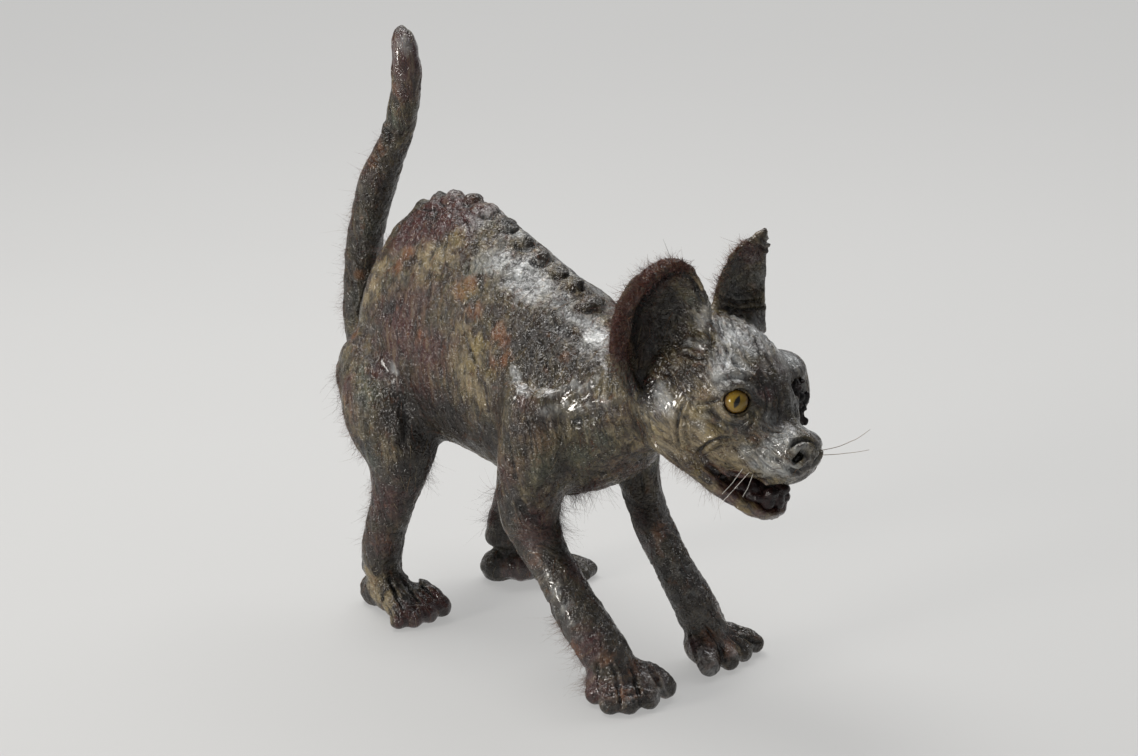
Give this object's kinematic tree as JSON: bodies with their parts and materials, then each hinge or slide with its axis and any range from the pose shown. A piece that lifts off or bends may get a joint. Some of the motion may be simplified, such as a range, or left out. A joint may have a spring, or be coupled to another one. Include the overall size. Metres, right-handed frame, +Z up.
{
  "type": "papier-mache cat figure",
  "caption": "Lean standing papier-mache cat with an arched, knuckled spine, raised tail, open mouth, cupped ears, splayed paws, a glass eye and bristle whiskers.",
  "frame": {"origin": "on the ground, in the middle of the whole figure's box seen from above", "axes": "+X the way the cat faces, +Y its left side, +Z up"},
  "size_m": [0.3486, 0.1376, 0.3133],
  "materials": {
    "papier_mache": "mottled charcoal, olive and rust brown paper pulp and fibre under a glossy, crinkled lacquer",
    "eye_glass": "polished amber glass with a black slit pupil",
    "bristle": "fine straw-brown bristle"
  },
  "bodies": {
    "root": {"cat_body": "papier_mache", "eye_right": "eye_glass", "whisker_left_upper": "bristle", "whisker_left_lower": "bristle", "whisker_right_front": "bristle", "whisker_right_middle": "bristle", "whisker_right_back": "bristle"}
  },
  "joints": []
}
